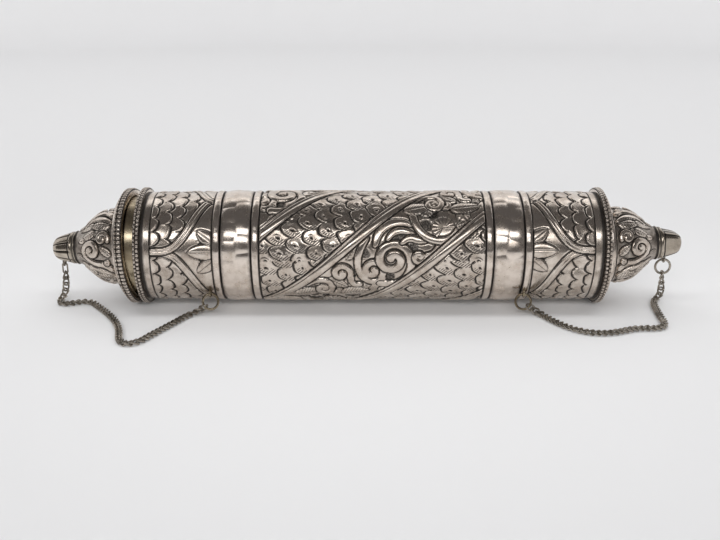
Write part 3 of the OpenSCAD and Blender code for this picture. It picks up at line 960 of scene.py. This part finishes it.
def make_bud(word, base, side, matrix):
    """Blunt bud on a narrow neck. The left one is fluted; the right one has four flat sides."""
    rows, columns = 64, 240
    t = np.linspace(0, 1, rows)[:, None]
    w = BUD_H * np.sin(np.pi / 2 * t)
    turn = (np.arange(columns) / columns * TAU)[None, :]
    outline = (BUD_R - 0.2 - 0.25 * w) * np.clip(1 - (w / BUD_H) ** 9, 0, 1) ** 0.5
    body = smooth(0.12, 0.3, w / BUD_H) * smooth(1.0, 0.86, w / BUD_H)
    if side < 0:
        cuts = bump(np.sin(5 * turn), 0.3) * body
        radius = outline * (1 - 0.13 * cuts)
    else:
        square = (np.abs(np.cos(turn)) ** 5 + np.abs(np.sin(turn)) ** 5) ** -0.2
        cuts = bump(np.abs(np.cos(2 * turn)), 0.16) * body
        ribs = bump(np.sin(turn) - 0.93, 0.05) * body
        radius = outline * (1 + body * (0.86 * square - 1)) - 0.12 * cuts - 0.12 * ribs
        cuts = np.maximum(0.8 * cuts, 0.9 * ribs)
    neck = 0.6 * bump(w - 0.55, 0.4)
    cord = bump(w - 1.45, 0.3)
    radius = np.maximum(radius - 0.3 * neck + 0.12 * cord, 0.0)
    radius[-1] = 0
    # painted shade in the flutes or corner cuts, in the neck and in the groove above the cord
    dark = np.clip(np.maximum(cuts, np.maximum(neck, bump(w - 2.0, 0.22))), 0, 1)
    along = np.concatenate([np.full((1, columns), base), base + w + np.zeros((1, columns))])
    radius = np.concatenate([np.zeros((1, columns)), radius])
    dark = np.concatenate([np.zeros((1, columns)), dark])
    piece = lathe(f"{word}_bud", along, radius, f"{word}_cap", WORN_SILVER, matrix, side, False, dark)
    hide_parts(f"{word}_cap_bud")


def make_left_cap():
    base = HALF_LENGTH + ROCK_GAP
    rows = [(0.1, 1.45, 0.0), (1.6, 0.45, 0.0)]
    along, radii, dark = flange_rows(base, CAP_RIM_T, CAP_FLANGE_R, RECESS_R, rows)
    columns = along.shape[1]
    # the rim's front face steps up to the foot, and its back is recessed for the sleeve's end
    # third column: painted shade in the step's corners
    tail = [
        (CAP_RIM_T, STEP_R + 0.15, 0.9), (CAP_RIM_T + 0.1, STEP_R, 0.7), (STEP_H - 0.15, STEP_R - 0.05, 0),
        (STEP_H, STEP_R - 0.2, 0), (STEP_H, FOOT_R + 0.3, 0.2), (STEP_H, FOOT_R - 0.9, 0.9),
        (RECESS_H, FOOT_R - 0.9, 0), (RECESS_H, RECESS_R, 0)]
    along = np.concatenate([along[:-2], [np.full(columns, base + p[0]) for p in tail]])
    radii = np.concatenate([radii[:-2], [np.full(columns, p[1]) for p in tail]])
    dark = np.concatenate([dark[:-2], [np.full(columns, p[2]) for p in tail]])
    piece = lathe("left_cap_rim", along, radii, "left_cap", SILVER, LEFT_CAP, -1, cavity=dark)
    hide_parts("left_cap_flange")
    foot = make_foot("left", base + STEP_H, LEFT_FOOT_H, -1, LEFT_CAP)
    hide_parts("left_cap_foot")
    make_dome("left", base + STEP_H + LEFT_FOOT_H, -1, LEFT_CAP)
    make_bud("left", base + STEP_H + LEFT_FOOT_H + DOME_H, -1, LEFT_CAP)


def make_right_cap():
    base = HALF_LENGTH + PLATE_T
    profile = np.array([
        (0, FOOT_R - 0.9), (0, PLATE_R - 0.1), (0.1, PLATE_R), (PLATE_T - 0.1, PLATE_R),
        (PLATE_T, PLATE_R - 0.1), (PLATE_T, FOOT_R - 0.9)])
    along = HALF_LENGTH + profile[:, :1] + np.zeros((1, 240))
    plate = lathe("right_base_plate", along, profile[:, 1:], "right_cap", PLAIN_SILVER)
    foot = make_foot("right", base - 0.35, RIGHT_FOOT_H + 0.35, 1, RIGHT_CAP)
    for piece in (plate, foot):
        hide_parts("right_cap_foot")
    make_dome("right", base + RIGHT_FOOT_H, 1, RIGHT_CAP)
    make_bud("right", base + RIGHT_FOOT_H + DOME_H, 1, RIGHT_CAP)


make_flanges()
make_left_cap()
make_right_cap()


# ---------------- wires and chains

WIRE_R = 0.28
LINK_W = 2.15
LINK_PLAY = 0.2             # slack of two links in each other
END_ROLL = math.radians(64)
RING_R, RING_WIRE_R = 2.23, 0.36
# each chain's route from the ring on the case to the fitting under the bud, as in the CAD model
LEFT_ROUTE = [
    (-48.3, -13.4, 2.8), (-50.6, -13.6, 1.4), (-52.8, -15, 0.8), (-54.9, -18.8, 0.8), (-57, -23.5, 0.8),
    (-59, -27.5, 0.8), (-61, -31.5, 0.8), (-62.6, -35.4, 0.8), (-65.8, -37.8, 0.8), (-68.8, -35, 0.8),
    (-69.8, -29.5, 0.8), (-72, -22.8, 0.8), (-75, -17.2, 0.8), (-78, -12.7, 0.8), (-81.5, -8, 0.8),
    (-84, -4.6, 0.8), (-86.8, -3.8, 0.8), (-89.6, -5.6, 0.8), (-92.6, -6.2, 0.8), (-94.2, -3.8, 0.8),
    (-93.6, -1, 1.2), (-93.3, 0.6, 2.8), (-93.2, 1.3, 5.2), (-93.2, 1.6, 8.2)]
RIGHT_ROUTE = [
    (45.3, -13.4, 2.8), (47.5, -13.7, 1.4), (49.2, -15.2, 0.8), (50.8, -18.8, 0.8), (53, -22.7, 0.8),
    (55.2, -25.6, 0.8), (57.5, -27.9, 0.8), (60, -29.2, 0.8), (62.6, -29.7, 0.8), (65.5, -29.5, 0.8),
    (68.5, -28.5, 0.8), (71.5, -27, 0.8), (74, -26, 0.8), (77, -26, 0.8), (80.2, -26, 0.8),
    (82.8, -23.4, 0.8), (83.2, -16.5, 0.8), (83.8, -10.6, 0.8), (84.6, -5, 0.8), (86, -2.2, 0.8),
    (87.6, -1.2, 1.6), (88, -0.7, 3.6), (88, -0.2, 6.2), (88, 0, 8.75)]
# the links before which a new rigid stretch begins
LEFT_CUTS = (0, 7, 14, 21, 28, 36, 42, 51)
RIGHT_CUTS = (0, 7, 14, 21, 28, 34, 39, 46)


def joints_along(route, count):
    """The places where each link meets the next, evenly spaced along a route."""
    route = curve(route, 3)
    marks = np.concatenate([[0], np.cumsum(np.linalg.norm(np.diff(route, axis=0), axis=1))])
    places = np.linspace(0, marks[-1], count + 1)
    return np.stack([np.interp(places, marks, route[:, k]) for k in range(3)], -1)


def tube_round(path, radius, sides):
    """Vertices and quads of a wire along a closed path of points."""
    path = np.asarray(path, float)
    n = len(path)
    tangent = np.roll(path, -1, 0) - np.roll(path, 1, 0)
    tangent /= np.linalg.norm(tangent, axis=1)[:, None]
    normal = np.zeros_like(path)
    normal[0] = np.cross(tangent[0], (0.3, 0.5, 0.8))
    normal[0] /= np.linalg.norm(normal[0])
    for i in range(1, n):
        v = normal[i - 1] - tangent[i] * (normal[i - 1] @ tangent[i])
        normal[i] = v / np.linalg.norm(v)
    # spread what is left of the frame's turn over the loop, so that its ends meet
    last = normal[-1] - tangent[0] * (normal[-1] @ tangent[0])
    last /= np.linalg.norm(last)
    slip = math.atan2(np.cross(last, normal[0]) @ tangent[0], last @ normal[0])
    turn = slip * np.arange(n) / n
    side = np.cross(tangent, normal)
    n1 = normal * np.cos(turn)[:, None] + side * np.sin(turn)[:, None]
    n2 = -normal * np.sin(turn)[:, None] + side * np.cos(turn)[:, None]
    ring = (np.arange(sides) / sides * TAU)[None, :, None]
    verts = path[:, None] + radius * (np.cos(ring) * n1[:, None] + np.sin(ring) * n2[:, None])
    return verts.reshape(-1, 3), lathe_faces(n, sides)


def curb_link(pitch):
    """Centre line of one link along X, twisted a quarter turn from end to end. Its ends then cross
    its neighbours' squarely while they all lie the same way."""
    steps = 40
    end = LINK_W / 2 - WIRE_R
    straight = pitch + LINK_PLAY + 2 * WIRE_R - 2 * end
    t = np.arange(steps) / steps * TAU
    x = np.cos(t) * end + np.clip(np.cos(t) * 3, -1, 1) * straight / 2
    y = np.clip(np.sin(t) * 1.15, -1, 1) * end
    twist = math.pi / 4 * x / (end + straight / 2)
    return np.stack([x, y * np.cos(twist), y * np.sin(twist)], -1)


def wire_mesh(name, loops, radius, body, material, sides=10):
    """One object from closed loops of wire."""
    verts, faces, start = [], [], 0
    for loop in loops:
        v, f = tube_round(loop, radius, sides)
        verts.append(v)
        faces.append(f + start)
        start += len(v)
    return mesh_object(name, np.concatenate(verts), np.concatenate(faces), body, material)


def rotation(roll, pitch, yaw):
    """Matrix that rolls about X, then turns about Y, then about Z."""
    m = Matrix.Rotation(yaw, 3, "Z") @ Matrix.Rotation(pitch, 3, "Y") @ Matrix.Rotation(roll, 3, "X")
    return np.array(m)


def link_roll(i, count):
    """Links lie flat, and the last three at each end turn up to meet the rings."""
    return END_ROLL * max(0.0, 1 - i / 3, 1 - (count - 1 - i) / 3)


def make_chain(word, route, cuts, seed):
    """One piece for each rigid stretch of a chain."""
    count = cuts[-1]
    places = joints_along(route, count)
    rng = np.random.default_rng(seed)
    for k in range(len(cuts) - 1):
        loops = []
        for i in range(cuts[k], cuts[k + 1]):
            p, q = places[i], places[i + 1]
            d = q - p
            size = np.linalg.norm(d)
            roll = link_roll(i, count) + rng.normal(0, 0.05)
            m = rotation(roll, -math.asin(d[2] / size), math.atan2(d[1], d[0]))
            loops.append(curb_link(size) @ m.T + (p + q) / 2)
        last = k == len(cuts) - 2
        node = f"{word}_chain_drop" if last else f"{word}_chain_{k + 1}"
        body = node if node in frame["bodies"] else f"{word}_cap"
        piece = wire_mesh(f"{node}_links", loops, WIRE_R, body, CHAIN_SILVER)
        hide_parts(node)


def make_ring(node, body, lean, material):
    """Round ring of stout wire, as wide inside as the CAD's ring, leaning forward about X."""
    low, high = cad_box(node)
    middle = (np.array(low) + high) / 2
    turn = np.arange(72) / 72 * TAU
    x, y, z = np.cos(turn), np.sin(turn) * math.sin(lean), np.sin(turn) * math.cos(lean)
    circle = RING_R * np.stack([x, y, z], -1)
    piece = wire_mesh(f"{node}_wire", [circle + middle], RING_WIRE_R, body, material, sides=14)
    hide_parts(node)


make_chain("left", LEFT_ROUTE, LEFT_CUTS, 7)
make_chain("right", RIGHT_ROUTE, RIGHT_CUTS, 9)
make_ring("left_case_ring", "left_chain_1", math.radians(12), RING_WIRE)
make_ring("right_case_ring", "right_chain_1", math.radians(12), RING_WIRE)
make_ring("right_bud_ring", "right_cap", 0.0, CHAIN_SILVER)

# the CAD nodes that stay
for node, material in (("left_collar", GILT), ("right_cap_sleeve", GILT), ("left_case_lug", RING_WIRE),
                       ("right_case_lug", RING_WIRE), ("left_bud_lug", CHAIN_SILVER),
                       ("right_bud_lug", CHAIN_SILVER), ("left_bud_ring", CHAIN_SILVER)):
    for material_slot in frame["nodes"][node].material_slots:
        material_slot.material = material
